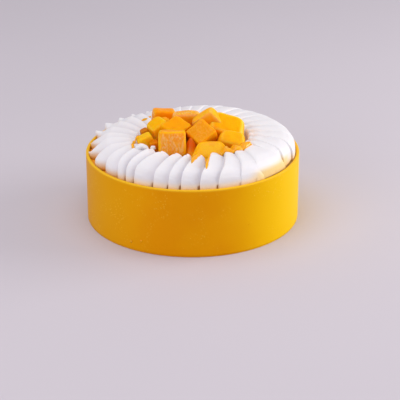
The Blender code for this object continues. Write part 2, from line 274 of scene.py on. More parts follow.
# Each petal by the compass of its groove at the rim and at the ring's inner end, in degrees
# anticlockwise from +X, the radius its foot reaches, its height, how far its groove bows
# sideways in degrees, how far its face falls to the next groove, as a share of the height, how
# pointed its foot is, and the least height of that point, as a share of the height.
PETALS = [
    (115.5, 119, 77.3, 13.0, 0, 0.28, 0.6, 0.55), (126, 129.5, 77.3, 13.0, 0, 0.32, 0.6, 0.60),
    (134.5, 139, 77.3, 12.8, 0, 0.38, 0.6, 0.60), (147, 150.5, 77.3, 13.0, 0, 0.42, 0.7, 0.66),
    (159, 162, 77.3, 13.2, 0, 0.44, 0.9, 0.58), (171.5, 173, 77.3, 13.6, 0, 0.42, 1.0, 0.28),
    (187.5, 187, 77.3, 15.0, -2, 0.34, 1.0, 0.36), (201, 198, 77.3, 15.8, 0, 0.28, 0.6, 0.30),
    (214, 204, 77.3, 16.6, 1, 0.22, 0.2, 0.10), (225, 212, 77.3, 16.8, 0, 0.17, 0, 0),
    (231, 221, 77.3, 17.0, 2, 0.16, 0, 0), (236, 232, 77.3, 17.0, 2, 0.15, 0, 0),
    (248, 248, 77.3, 17.0, 1.5, 0.14, 0, 0), (256.5, 262, 77.3, 17.0, 0, 0.14, 0, 0),
    (263, 271, 77.3, 17.0, 0, 0.14, 0, 0), (273, 283, 77.3, 17.0, 1, 0.12, 0, 0),
    (283, 299, 77.3, 16.8, 0, 0.06, 0, 0), (296, 309, 77.3, 16.8, -1, 0.03, 0, 0),
    (306, 319, 76.4, 16.8, -3, 0.01, 0, 0), (322, 332, 74.0, 16.4, -2, 0.01, 0, 0),
    (332, 344, 75.6, 16.2, -3, 0.01, 0, 0), (345, 356, 77.2, 15.8, -2, 0.01, 0, 0),
    (358, 368, 77.3, 15.4, -1, 0.01, 0, 0), (371, 380, 77.3, 15.1, 0, 0.01, 0, 0),
    (383, 391, 77.3, 14.8, 0, 0.01, 0, 0), (394, 401, 77.3, 14.6, 0, 0.01, 0, 0),
    (404.5, 411, 77.3, 14.4, 0, 0.02, 0, 0), (415, 422, 77.3, 14.4, 0, 0.03, 0, 0),
    (428.5, 435, 77.3, 14.2, 0, 0.04, 0, 0), (438, 445, 77.3, 13.8, 0, 0.05, 0, 0),
    (447, 453, 77.3, 13.6, 0, 0.08, 0.3, 0.2), (456, 461, 77.3, 13.4, 0, 0.14, 0.4, 0.4),
    (464.5, 469, 77.3, 13.2, 0, 0.25, 0.5, 0.5),
]

# A petal from its foot to its inner end: share of the way along, height as a share of the
# full height, then as shares of the spacing where its steep side starts, where its crest is
# and where its face ends, and how square-shouldered the face is.
SHARE = (0.00, 0.015, 0.05, 0.10, 0.20, 0.40, 0.62, 0.84, 0.95, 1.00)
RISE = (0.10, 0.42, 0.64, 0.78, 0.90, 0.98, 1.00, 0.94, 0.78, 0.30)
START = (0.24, 0.10, 0.03, 0.00, 0.00, 0.00, 0.00, 0.00, 0.05, 0.30)
CREST = (0.34, 0.22, 0.12, 0.08, 0.07, 0.08, 0.16, 0.36, 0.46, 0.52)
FINISH = (0.46, 0.74, 0.94, 1.08, 1.30, 1.45, 1.45, 1.35, 1.15, 0.75)
SHOULDER = (2.0, 2.2, 3.0, 4.5, 7.0, 9.0, 8.0, 4.0, 2.4, 2.0)
POINT_WIDTH = 0.12            # a fully pointed foot's width as a share of a full one's
POINT_GROWTH = 1.6            # and how fast it widens on the way in
POINT_DROP = 0.5              # a fully pointed foot is lower by this share
POINT_LENGTH = 0.35           # over this share of the petal's length
POINT_CREST = 0.10            # a fully pointed foot's crest, as a share of the spacing
POINT_REACH = 1.4             # how far its point lies out over the collar's lip
SOFT_FALL = 0.16              # a petal whose face falls less than this has a softer crest
SOFT_SHIFT = 0.32             # and that crest lies this much further over
SOFT_GROWTH = 4.0             # which takes a quarter of the petal's length
SOFT_FINISH = 0.65            # its face runs this much further over the next petal's foot
SOFT_SHADE_CUT = 0.85              # and its painted shade is weaker by this share
SOFT_FOOT = 0.12              # and its foot is as broad as a firm petal is this far along
PETAL_ROWS = 60
WALL_POINTS = 12
FACE_POINTS = 28
UNDER_POINTS = 4
GROOVE_SHADE_LENGTH = 0.10            # share of a petal's length that carries painted shade, at its groove
GROOVE_SHADE_WIDTH = 0.10             # how far from the groove, as a share of the spacing
GROOVE_SHADE_RISE = 5.2               # and how high
GROOVE_SHADE_GAIN = 2.0               # the painted shade is full within half of those
WALL_LEAST = 0.03             # the steep side's least width, as a share of the spacing
WALL_CURVE = 3                # power with which it rounds into the crest
BLUNT_FROM = 0.5              # past this share of the length it rounds less,
BLUNT_OVER = 0.4              # and least after this much more
FALL_CURVE = 1.3              # power with which the face falls
FALL_END = 1.3                # and where it stops, 1 being at the next groove
LIP_CLEAR = 3.3               # a pointed foot reaches out over the lip from this height
LIP_BLEND = 3.0               # and fully this much higher
LIP_LENGTH = 0.12             # over this share of its length
HAND_SWELL = 0.35             # depth of the unevenness of piping by hand
HAND_WAVE = 16.0              # and its length
HAND_SEED = 5                 # one for all petals, so that it runs on from each to the next
FIRM_FROM = 0.8               # it starts this far up the petal
FIRM_FULL = 6.0               # and is full this far up
FACE_SHADE_CURVE = 1.5             # the face's painted shade grows towards the next petal by this power
FACE_SHADE_FULL = 4.0              # and fully this far up the petal
NOZZLE_STREAK = 0.12          # depth of the fine streaks left along a petal


def eased(at, knots, values):
    """Values between knots on a smooth curve: each span is a cubic whose slopes at its knots
    are those of the line through the neighbouring knots."""
    knots, values = np.asarray(knots), np.asarray(values)
    slopes = np.gradient(values, knots)
    span = np.clip(np.searchsorted(knots, at, side="right") - 1, 0, len(knots) - 2)
    width = knots[span + 1] - knots[span]
    t = (at - knots[span]) / width
    return ((1 + 2 * t) * (1 - t) ** 2 * values[span] + t * (1 - t) ** 2 * width * slopes[span]
            + t * t * (3 - 2 * t) * values[span + 1]
            - t * t * (1 - t) * width * slopes[span + 1])


def petal_rings(petal, foot_gap, tip_gap, seed):
    """Rings of one petal in millimetres, each an arc round the cake's middle. The arc starts in
    the petal's groove, climbs to the crest as one less the cube of the way left, crosses the
    face, which falls by a power past the next groove and ends in a superellipse's shoulder,
    and returns underneath. The groove's compass runs evenly from foot to tip, plus half a sine
    of bow. A petal whose face falls little is softened, and a pointed foot is narrowed, lowered
    and drawn out over the lip. Also returns, at each point, the painted shade that greys the
    face towards the next petal and the painted shade in the groove at the foot."""
    foot, tip, reach_out, full_height, bow, fall, point, nose = petal
    share = (1 - np.cos(np.linspace(0, math.pi, PETAL_ROWS))) / 2
    radius = reach_out + (CREAM_INNER - reach_out) * share
    groove = foot + (tip - foot) * share + bow * np.sin(math.pi * share)
    gap = foot_gap + (tip_gap - foot_gap) * share
    rise = np.clip(eased(share, SHARE, RISE), 0, 1)
    rise = rise * (1 - POINT_DROP * point * (1 - share / POINT_LENGTH).clip(0))
    rise = np.where(share < POINT_LENGTH, np.maximum(rise, nose), rise)
    soft = max(0.0, 1 - fall / SOFT_FALL)
    broad = share + (1 - share) * SOFT_FOOT * soft
    start = np.clip(eased(broad, SHARE, START), 0, 1)[:, None]
    crest = np.maximum(eased(broad, SHARE, CREST)[:, None], start + WALL_LEAST)
    near_foot = (share < POINT_LENGTH)[:, None] * point
    start = start * (1 - near_foot)
    crest = crest - (crest - POINT_CREST).clip(0) * near_foot
    crest = crest + SOFT_SHIFT * soft * (1 - crest) * np.minimum(SOFT_GROWTH * share, 1)[:, None]
    width = np.minimum(1 - (1 - POINT_WIDTH) * point + POINT_GROWTH * share, 1.0)[:, None]
    finish = eased(broad, SHARE, FINISH)[:, None]
    finish = crest + (finish - crest) * width + SOFT_FINISH * soft * (1 - share)[:, None] ** 2
    shoulder = eased(broad, SHARE, SHOULDER)[:, None]
    near = np.linspace(1, 0, WALL_POINTS)
    far = np.sin(np.linspace(0, math.pi / 2, FACE_POINTS))[1:]
    wall = crest - (crest - start) * near
    face = crest + (finish - crest) * far
    below = finish + (start - finish) * np.linspace(0, 1, UNDER_POINTS + 2)[1:-1]
    blunt = np.clip((share[:, None] - BLUNT_FROM) / BLUNT_OVER, 0, 1)
    climb = 1 - near ** (WALL_CURVE - blunt)
    drop = 1 - fall * ((face - crest) / (1 - crest)).clip(0, FALL_END) ** FALL_CURVE
    top = drop * np.sqrt(np.clip(1 - far ** shoulder, 0, 1))
    across = np.concatenate([wall, face, below], -1)
    level = np.concatenate([climb, top, np.zeros((PETAL_ROWS, UNDER_POINTS))], -1)
    level = level * (rise * full_height)[:, None]
    over = ((level - LIP_CLEAR) / LIP_BLEND).clip(0, 1)
    over = over * (1 - share / LIP_LENGTH).clip(0, 1)[:, None]
    radius = radius[:, None] + POINT_REACH * point * over
    turn = np.radians(groove[:, None] + across * gap[:, None])
    draw = np.random.default_rng(seed)
    lanes = draw.uniform(-1, 1, level.shape[1])
    streak = np.convolve(np.tile(lanes, 3), (0.25, 0.5, 0.25), "same")[len(lanes):-len(lanes)]
    rings = np.stack([radius * np.cos(turn), radius * np.sin(turn), CREAM_BASE + level], -1)
    lift = NOZZLE_STREAK * streak * np.sin(math.pi * share)[:, None] ** 0.5
    lift = lift + HAND_SWELL * waves(rings, HAND_WAVE, HAND_SEED) - HAND_SWELL
    firm = np.where(level > FIRM_FROM, 1, 0) * np.clip(level / FIRM_FULL, 0, 1)
    rings[..., 2] += firm * lift
    # Painted shade: the face greys towards the next petal, where that petal's crest would shade it.
    face_dark = ((across - crest) / (1 - crest)).clip(0, 1) ** FACE_SHADE_CURVE
    face_dark = face_dark * np.minimum(1, level / FACE_SHADE_FULL)
    beside = np.minimum(np.abs(across), np.abs(across - 1))
    # Painted shade in the groove at the foot, where the gap between two feet lies in shade.
    groove_shade = (1 - share / GROOVE_SHADE_LENGTH).clip(0, 1)[:, None] * (1 - beside / GROOVE_SHADE_WIDTH).clip(0, 1)
    groove_shade = groove_shade * (GROOVE_SHADE_RISE - level).clip(0, 1) * (1 - soft)
    return rings, face_dark * (1 - SOFT_SHADE_CUT * soft), np.minimum(GROOVE_SHADE_GAIN * groove_shade, 1)


def give_attribute(piece, name, kind, values):
    """Stores one value a point on the piece's mesh; the two points that close its ends take
    the first and last ring's."""
    flat = values.reshape(-1, values.shape[-1]) if kind != "FLOAT" else values.reshape(-1, 1)
    flat = np.vstack([flat, flat[:1], flat[-1:]])
    layer = piece.data.attributes.new(name, kind, "POINT")
    field = {"FLOAT": "value", "FLOAT_VECTOR": "vector", "FLOAT_COLOR": "color"}[kind]
    layer.data.foreach_set(field, flat.astype(np.float32).ravel())


# Soft satin white, with painted shade that greys each petal's face towards the next petal,
# and lit a little from within. The feet carry a painted warm bounce from the collar, more
# golden towards the left where they lie in shade, and painted shade in brown in the grooves at
# the feet, orange towards the left. They are smeared with pale mango cream at the front
# right. The froth is drawn coarser than it is, so that it shows.
# Painted light at the feet: the collar's warm bounce, turned golden by painted shade towards the
# left.
BOUNCE_TOP, BOUNCE_FULL = 57.0, 49.5        # heights where the tint starts and is full
LEFT_SHADE_FROM, LEFT_SHADE_FULL = -35.0, -65.0       # where it starts to turn golden, and has turned

cream, tree, shader = new_material(
    "whipped cream, piped", Roughness=0.48, Specular_IOR_Level=0.35,
    Subsurface_Weight=0.35, Subsurface_Radius=(1.0, 0.9, 0.8), Subsurface_Scale=1.5 * MM)
where = add_node(tree, "TexCoord").outputs["Object"]
place = add_node(tree, "SeparateXYZ", {0: where}).outputs
froth = add_node(tree, "TexNoise", {"Vector": where, "Scale": per(1.5), "Detail": 3.0})
fold = add_node(tree, "TexNoise", {"Vector": where, "Scale": per(22), "Detail": 2.0})
white = add_node(tree, "Mix", {FACTOR: fold.outputs[0], FIRST: srgb("#E9E7E9"),
                               SECOND: srgb("#EFEDEE")}, data_type="RGBA")
# Painted shade: each face greys towards the next petal.
face_shade = add_node(tree, "Attribute", attribute_name="face_shade").outputs["Fac"]
white = add_node(tree, "Mix", {FACTOR: face_shade, FIRST: white.outputs[MIXED],
                               SECOND: srgb("#DAD6DC")}, data_type="RGBA")
# Painted warm bounce from the collar on the low cream, more golden towards the left, where it is in
# shade.
low = add_node(tree, "MapRange", {"Value": place["Z"], "From Min": BOUNCE_TOP * MM,
                                  "From Max": BOUNCE_FULL * MM}, interpolation_type="SMOOTHSTEP")
left_shade = add_node(tree, "MapRange", {"Value": place["X"], "From Min": LEFT_SHADE_FROM * MM,
                                       "From Max": LEFT_SHADE_FULL * MM},
                    interpolation_type="SMOOTHSTEP")
stain = add_node(tree, "Mix", {FACTOR: left_shade.outputs[0], FIRST: srgb("#F9D496"),
                               SECOND: srgb("#DEA23C")}, data_type="RGBA")
white = add_node(tree, "Mix", {FACTOR: low.outputs[0], FIRST: white.outputs[MIXED],
                               SECOND: stain.outputs[MIXED]}, data_type="RGBA")
smear = 1.0
for axis, start, end in (("X", 38.0, 52.0), ("Y", -22.0, -34.0), ("Z", 61.0, 55.5)):
    share = add_node(tree, "MapRange", {"Value": place[axis], "From Min": start * MM,
                                        "From Max": end * MM}, interpolation_type="SMOOTHSTEP")
    smear = add_node(tree, "Math", {0: smear, 1: share.outputs[0]},
                     operation="MULTIPLY").outputs[0]
white = add_node(tree, "Mix", {FACTOR: smear, FIRST: white.outputs[MIXED],
                               SECOND: srgb("#F2D692")}, data_type="RGBA")
# Painted shade in the grooves at the feet: brown, and orange towards the left.
groove_shade_colour = add_node(tree, "Mix", {FACTOR: left_shade.outputs[0], FIRST: srgb("#9C6028"),
                               SECOND: srgb("#E8930C")}, data_type="RGBA")
groove_dark = add_node(tree, "Attribute", attribute_name="groove_shade").outputs["Fac"]
white = add_node(tree, "Mix", {FACTOR: groove_dark, FIRST: white.outputs[MIXED],
                               SECOND: groove_shade_colour.outputs[MIXED]}, data_type="RGBA")
tree.links.new(white.outputs[MIXED], shader.inputs["Base Color"])
airy = add_node(tree, "Bump", {"Height": froth.outputs[0], "Distance": 0.12 * MM})
tree.links.new(airy.outputs[0], shader.inputs["Normal"])

skin = []                     # points of all that juice can lie on
for number, row in enumerate(PETALS):
    following = PETALS[(number + 1) % len(PETALS)]
    lap = 360 if number + 1 == len(PETALS) else 0
    foot_gap, tip_gap = following[0] + lap - row[0], following[1] + lap - row[1]
    rings, face_dark, groove_shade = petal_rings(row, foot_gap, tip_gap, number)
    petal = closed_surface(f"cream_petal_{number + 1:02d}", rings, cream)
    give_attribute(petal, "face_shade", "FLOAT", face_dark)
    give_attribute(petal, "groove_shade", "FLOAT", groove_shade)
    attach(petal, "root")
    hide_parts("piped_cream")
    skin.append(rings.reshape(-1, 3))


# The sauce: mango puree spooned in before the fruit, a glossy pool under the chunks whose
# edge shows between the petals' tips.
SAUCE_RADIUS = 37.6
SAUCE_TURN = 0.9              # its edge rounds down from this share of the radius
SAUCE_LOBES = 9               # and swells into this many lobes
LOBE_DEPTH = 0.032            # each this share of the radius deep
LOBE_CURVE = 4                # power with which they fade inwards
PULP_RELIEF = 0.5             # depth of its unevenness
PULP_WAVE = 14.0
PULP_SEED = 9
SAUCE_RISE = 10.0
SAUCE_EDGE = 4.0
SAUCE_STEPS = 144
SAUCE_ROWS = 30               # rings from its middle to where its edge turns
SAUCE_POLE = 0.02             # the first of them, as a share of the radius
EDGE_ROWS = 8                 # and rings round the edge
EDGE_FIRST = 0.92             # the first of those
WELL_PLACE = (-1.0, -23.0)    # it is pushed up between the front chunks
WELL_RISE = 12.5
WELL_SPREAD = 34.0            # square of the reach over which that falls away
WELL_CLEAR = 2.0              # its bottom, up to this height, stays put

# Glossy and glowing orange, with painted shade: a darker, redder orange higher up, where it is
# pushed up into the shaded gap between two chunks.
sauce, tree, shader = new_material(
    "mango puree, wet", Roughness=0.25, Specular_IOR_Level=0.15, Coat_Weight=0.05,
    Coat_Roughness=0.08, Subsurface_Weight=0.6, Subsurface_Radius=(1.0, 0.25, 0.01),
    Subsurface_Scale=10 * MM)
where = add_node(tree, "TexCoord").outputs["Object"]
pulp = add_node(tree, "TexNoise", {"Vector": where, "Scale": per(3.8), "Detail": 3.0})
pure = add_node(tree, "Mix", {FACTOR: pulp.outputs[0], FIRST: srgb("#FF8A00"),
                              SECOND: srgb("#FFAA08")}, data_type="RGBA")
height = add_node(tree, "SeparateXYZ", {0: where}).outputs["Z"]
# Painted shade: from 59 to 65 mm up the sauce turns a darker red-orange.
well_shade = add_node(tree, "MapRange", {"Value": height, "From Min": 59 * MM, "From Max": 65 * MM},
                  interpolation_type="SMOOTHSTEP")
deep = add_node(tree, "Mix", {FACTOR: well_shade.outputs[0], FIRST: pure.outputs[MIXED],
                              SECOND: srgb("#E06600")}, data_type="RGBA")
tree.links.new(deep.outputs[MIXED], shader.inputs["Base Color"])
wet = add_node(tree, "Bump", {"Height": pulp.outputs[0], "Distance": 0.4 * MM, "Strength": 0.5})
tree.links.new(wet.outputs[0], shader.inputs["Normal"])

# A turned paraboloid that rounds down to its edge in a quarter ellipse, with lobes cut by a
# cosine of the way round, and a bell-shaped rise between the front chunks.
share = np.concatenate([np.linspace(SAUCE_POLE, SAUCE_TURN, SAUCE_ROWS),
                        np.linspace(EDGE_FIRST, 1.0, EDGE_ROWS)])
edge = np.sqrt(1 - ((share - SAUCE_TURN) / (1 - SAUCE_TURN)).clip(0, 1) ** 2)
dome = (SAUCE_EDGE + (SAUCE_RISE - SAUCE_EDGE) * (1 - share ** 2)) * edge
out = np.concatenate([share, share[::-1][1:]]) * SAUCE_RADIUS
height = CREAM_BASE + np.concatenate([dome, np.zeros(len(share) - 1)])
pool = lathe(np.stack([out, height], -1), SAUCE_STEPS)
turn = np.arctan2(pool[..., 1], pool[..., 0])
reach = np.hypot(pool[..., 0], pool[..., 1]) / SAUCE_RADIUS
lobes = LOBE_DEPTH * (1 + np.cos(SAUCE_LOBES * turn)) * reach ** LOBE_CURVE
pool[..., :2] *= (1 - lobes)[..., None]
pulpy = PULP_RELIEF * waves(pool, PULP_WAVE, PULP_SEED) - PULP_RELIEF
pool[..., 2] += np.where(pool[..., 2] > CREAM_BASE + PULP_RELIEF, pulpy, 0)
from_well = ((pool[..., :2] - WELL_PLACE) ** 2).sum(-1)
well = WELL_RISE * np.exp(-from_well / WELL_SPREAD)
pool[..., 2] += np.where(pool[..., 2] > CREAM_BASE + WELL_CLEAR, well, 0)
mango_sauce = closed_surface("sauce_pool", pool, sauce)
skin.append(pool.reshape(-1, 3))
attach(mango_sauce, "root")
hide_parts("mango_sauce")


# The fruit: ripe mango cut into cubes and wedges by hand and tossed in its own juice, so
# its edges are soft, its cut faces are fibrous and its skin side is rounded and yellower.
BLOCK_AROUND = 96             # points round a chunk
BLOCK_FACE = 16               # rings across its top and across its bottom
BLOCK_SIDE = 28               # rings up its sides
BLOCK_POLE = 0.04             # size of its smallest rings, as a share

# Each chunk's centre, edge lengths, turn in degrees about Z, then Y, then X, the size of
# its top as a share of its bottom and of its far side as a share of its near side, how square
# it is, its flesh and border colours, and how fibrous its left, front and top faces are.
CHUNKS = [
    ((-15.0, -22.0, 65.3), (21.2, 17.0, 19.0), (2, 0, -14), 0.96, 1.0,
     9, "#FFA42C", "#FFB80C", (0, 1, 0)),
    ((-12.0, -8.5, 69.0), (18.8, 18.8, 14.0), (45, 0, 20), 0.92, 1.0,
     9, "#F8A200", "#FFAE08", (0, 0, 0)),
    ((6.6, -14.5, 67.6), (19.0, 18.5, 15.0), (43, -4, 36), 0.92, 1.0,
     10, "#EC9A08", "#F4A60E", (0, 0, 0.2)),
    ((25.2, 3.4, 66.9), (33.0, 22.0, 16.0), (-12, 12, 34), 0.88, 0.84,
     4.0, "#FFB000", "#FFCC3C", (0, 0, 0)),
    ((13.5, -32.0, 62.6), (33.4, 16.0, 6.5), (3, 3, 40), 0.92, 0.56,
     5, "#F7BC28", "#FBB408", (0, 0, 0)),
    ((29.0, -15.0, 63.5), (24.5, 17.0, 13.0), (-8, 10, 30), 0.84, 0.85,
     3.6, "#F8B010", "#FBC030", (0, 0, 0)),
    ((-25.0, -0.5, 68.0), (18.0, 18.0, 15.0), (32, -22, 16), 0.80, 0.9,
     4.5, "#FDB400", "#FFC428", (0.3, 0, 0)),
    ((-34.4, -14.5, 62.6), (15.0, 13.0, 13.0), (14, -20, 8), 0.76, 1.0,
     7, "#FFBC1A", "#FFC020", (0, 0, 0)),
    ((-22.0, 22.5, 65.0), (20.0, 14.0, 20.0), (8, 4, -4), 0.84, 1.0,
     10, "#FA9600", "#FFA610", (1, 0, 0.2)),
    ((12.5, 4.0, 70.0), (22.0, 11.0, 21.0), (-6, -38, 6), 0.90, 1.0,
     7, "#FFBA1E", "#FFBE50", (1, 0, 0)),
    ((-4.6, 11.0, 68.4), (23.0, 11.0, 18.0), (4, 0, 0), 0.92, 1.0,
     6, "#FFAE12", "#FBB460", (0, 0, 1)),
    ((16.0, 27.0, 60.5), (20.0, 14.0, 16.0), (20, 6, 0), 0.85, 1.0,
     7, "#FBA60A", "#FFB830", (0, 0, 0)),
    ((-20.3, 1.5, 70.0), (8.5, 9.0, 13.0), (30, 0, 0), 0.75, 1.0,
     4, "#FFA410", "#FFAE20", (0, 0, 0)),
    # This small chunk sits in shade between two others; its darker flesh is painted shade.
    ((-28.0, -20.0, 59.5), (9.0, 9.0, 14.0), (12, -8, 0), 0.85, 1.0,
     6, "#D87A00", "#E08A08", (0, 0, 0)),
    ((-34.8, -2.0, 64.0), (8.0, 9.0, 10.0), (20, -20, 0), 0.75, 1.0,
     6, "#C67408", "#D08418", (0, 0, 0)),
]
FIBRE_RELIEF = 0.28           # depth of the torn fibres on a cut face
FIBRE_WIDTH = 2.6
FIBRE_SHAPE = (1.6, 1.6, 0.5)  # they run up the chunk
FIBRE_WAYS = 9
FIBRE_SEED = 50
FIBRE_FADE = 8                # power by which they fade at a face's sides
HAND_CUT = 0.45               # how far a face strays from flat
CUT_WAVE = 13.0
CUT_SINK = 0.6                # all faces are sunk by this share of it
BORDER_FROM = 0.70            # the border's colour starts this far out on a face
BORDER_OVER = 0.25            # and is full this much further out


def block_rings():
    """A unit block as rings from the middle of its bottom, over its sides, to the middle of its
    top. A ring is the outline of a square: its X and Y are triangle waves of the way round, a
    quarter turn apart and clipped at 1. It grows over the bottom, climbs the sides, and
    shrinks over the top."""
    along = (np.arange(BLOCK_AROUND) + 0.5) / BLOCK_AROUND * 8
    px = np.clip(np.abs((along + 2) % 8 - 4) - 2, -1, 1)
    py = np.clip(np.abs(along % 8 - 4) - 2, -1, 1)
    grow = np.linspace(BLOCK_POLE, 1, BLOCK_FACE)
    climb = np.linspace(-1, 1, BLOCK_SIDE)
    scale = np.concatenate([grow, np.ones(BLOCK_SIDE - 2), grow[::-1]])
    level = np.concatenate([-np.ones(BLOCK_FACE), climb[1:-1], np.ones(BLOCK_FACE)])
    return np.stack([scale[:, None] * px, scale[:, None] * py,
                     np.broadcast_to(level[:, None], (len(level), BLOCK_AROUND))], -1)


def rounded_block(square, size, taper, far, fibre, seed):
    """A soft-edged chunk: each point of the unit block is pulled in onto a superellipsoid of
    that squareness, stretched to size, and narrowed towards its top and its far side. Returns
    the rings, how near each point is to an edge, and how fibrous it is."""
    unit = block_rings()
    norm = (np.abs(unit) ** square).sum(-1) ** (1 / square)
    local = unit / norm[..., None]
    narrow = 1 - (1 - taper) * (local[..., 2:] + 1) / 2
    shaped = local * np.array(size) / 2
    shaped[..., :2] *= narrow
    shaped[..., 0] *= 1 - (1 - far) * (local[..., 1] + 1) / 2
    ordered = np.sort(np.abs(unit), axis=-1)
    border = np.clip((ordered[..., 1] - BORDER_FROM) / BORDER_OVER, 0, 1)
    faces = [-unit[..., 0], -unit[..., 1], unit[..., 2]]
    torn = sum(amount * face.clip(0) ** FIBRE_FADE for amount, face in zip(fibre, faces))
    torn = torn * (1 - border)
    normal = local / np.linalg.norm(local, axis=-1, keepdims=True)
    stray = HAND_CUT * waves(shaped, CUT_WAVE, seed) - HAND_CUT * CUT_SINK
    strands = waves(shaped * FIBRE_SHAPE, FIBRE_WIDTH, seed + FIBRE_SEED, FIBRE_WAYS)
    stray += FIBRE_RELIEF * torn * strands
    return shaped + normal * stray[..., None], border, torn


# Moist satin that glows from within, in a deeper orange where it is riper, with pale strands
# on the torn faces and a film of juice in places. Its patterns lie in the chunk's own
# millimetres, so they turn with it.
RIPE_PATCH = 4.5
STRAND_WIDTH = 2.0
PITH_SIZE = 0.9
JUICE_PATCH = 6.3

flesh, tree, shader = new_material(
    "mango flesh, cut and juicy", Roughness=0.42, Specular_IOR_Level=0.05, Coat_Roughness=0.12,
    Subsurface_Weight=0.5, Subsurface_Radius=(1.0, 0.35, 0.01), Subsurface_Scale=6 * MM)
tint = add_node(tree, "Attribute", attribute_name="flesh").outputs["Color"]
torn = add_node(tree, "Attribute", attribute_name="torn").outputs["Fac"]
local = add_node(tree, "Attribute", attribute_name="local").outputs["Vector"]
ripe = add_node(tree, "TexNoise", {"Vector": local, "Scale": 1 / RIPE_PATCH, "Detail": 3.0})
riper = add_node(tree, "MapRange", {"Value": ripe.outputs[0], "From Min": 0.45,
                                    "From Max": 0.72}, interpolation_type="SMOOTHSTEP")
deep = add_node(tree, "Math", {0: riper.outputs[0], 1: 0.35}, operation="MULTIPLY")
juicy = add_node(tree, "Mix", {FACTOR: deep.outputs[0], FIRST: tint,
                               SECOND: srgb("#F08A00")}, data_type="RGBA")
lengthwise = add_node(tree, "Mapping", {"Vector": local, "Scale": (1.0, 1.0, 0.5)})
strand = add_node(tree, "TexNoise", {"Vector": lengthwise.outputs[0],
                                     "Scale": 1 / STRAND_WIDTH, "Detail": 5.0,
                                     "Distortion": 0.8})
pulled = add_node(tree, "MapRange", {"Value": strand.outputs[0], "From Min": 0.44,
                                     "From Max": 0.60}, interpolation_type="SMOOTHSTEP")
pale = add_node(tree, "Math", {0: pulled.outputs[0], 1: torn}, operation="MULTIPLY")
fibrous = add_node(tree, "Mix", {FACTOR: pale.outputs[0], FIRST: juicy.outputs[MIXED],
                                 SECOND: srgb("#FFBF6A")}, data_type="RGBA")
tree.links.new(fibrous.outputs[MIXED], shader.inputs["Base Color"])
pith = add_node(tree, "TexNoise", {"Vector": local, "Scale": 1 / PITH_SIZE, "Detail": 3.0})
soft = add_node(tree, "Bump", {"Height": pith.outputs[0], "Distance": 0.4 * MM,
                               "Strength": 0.5})
tear = add_node(tree, "Bump", {"Height": pale.outputs[0], "Distance": 0.5 * MM,
                               "Strength": 0.6, "Normal": soft.outputs[0]})
tree.links.new(tear.outputs[0], shader.inputs["Normal"])
puddle = add_node(tree, "TexNoise", {"Vector": local, "Scale": 1 / JUICE_PATCH, "Detail": 2.0})
film = add_node(tree, "MapRange", {"Value": puddle.outputs[0], "From Min": 0.56,
                                   "From Max": 0.66}, interpolation_type="SMOOTHSTEP")
wet = add_node(tree, "Math", {0: film.outputs[0], 1: 0.22}, operation="MULTIPLY")
tree.links.new(wet.outputs[0], shader.inputs["Coat Weight"])

for number, row in enumerate(CHUNKS):
    place, size, turns, taper, far, square, inside, border_colour, fibre = row
    local, border, torn_part = rounded_block(square, size, taper, far, fibre, number)
    about_z, about_y, about_x = [math.radians(turn) for turn in turns]
    spin = np.array(Euler((about_x, about_y, about_z), "ZYX").to_matrix())
    rings = local @ spin.T + np.array(place)
    skin.append(rings.reshape(-1, 3))
    chunk = closed_surface(f"mango_{number + 1:02d}", rings, flesh)
    shade = border[..., None] * srgb(border_colour) + (1 - border[..., None]) * srgb(inside)
    give_attribute(chunk, "flesh", "FLOAT_COLOR", shade)
    give_attribute(chunk, "torn", "FLOAT", torn_part)
    give_attribute(chunk, "local", "FLOAT_VECTOR", local)
    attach(chunk, "root")
    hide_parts(f"mango_chunk_{number + 1:02d}")


# The juice: puree that ran from the heap over the cream before it set, a few millimetres
# wide and thin, following the petals it lies on. Four beads of it dried on the collar.

# Each run's name, its way in plan, its half width along that way, and its thickness.
RUNS = [
    ("drip", ((10.8, -42.5), (10.7, -51.0), (10.2, -61.0), (9.7, -69.5)),
     (2.8, 1.9, 1.3, 1.0), 1.1),
    ("patch", ((2.4, -41.5), (2.0, -48.0), (0.4, -56.0), (-0.8, -62.5)),
     (3.8, 3.0, 1.6, 0.4), 0.9),
    ("pool", ((20.0, -39.5), (28.0, -35.0), (36.0, -30.6), (43.5, -27.0)),
     (3.4, 5.4, 5.0, 0.6), 2.9),
    ("edge", ((-40.0, -11.0), (-43.2, -17.8), (-43.8, -26.0), (-42.0, -33.2)),
     (0.8, 1.0, 1.1, 0.9), 1.0),
    ("drop", ((-39.5, 40.8), (-37.8, 40.0), (-36.2, 39.2), (-34.6, 38.5)),
     (0.5, 1.4, 1.4, 0.5), 0.4),
    ("stain", ((-34.4, 48.6), (-33.7, 47.8), (-33.0, 47.0), (-32.3, 46.2)),
     (0.5, 1.0, 1.0, 0.5), 0.6),
]
RUN_ROWS = 40
RUN_COLUMNS = 17
RUN_INSET = 0.03              # its first ring's angle, on a half turn from end to end
RUN_BLUNT = 6                 # power by which its ends are rounded
RUN_END = 0.02                # square of its least width there, as a share
RUN_WANDER = 0.18             # its width strays by this share
WANDER_WAVE = 5.0
RUN_SEED = 70
RUN_FULL = 1.2                # a run of this half width has its full thickness
RUN_SUNK = 0.5                # its underside lies this deep in what it lies on
LAND_SOFT = 1.1               # how gently the juice bridges hollows
LAND_REACH = 4.0              # points further off than this don't hold it up


def landed(spots, points):
    """Height of the surface under each spot: the highest, over the surface's points, of the
    point's height less its squared distance in plan, over LAND_SOFT."""
    low, high = spots.min(0) - LAND_REACH, spots.max(0) + LAND_REACH
    inside = ((points[:, :2] > low) & (points[:, :2] < high)).all(-1)
    near = points[inside]
    away = ((spots[:, None, :] - near[None, :, :2]) ** 2).sum(-1)
    return (near[None, :, 2] - away / LAND_SOFT).max(-1)


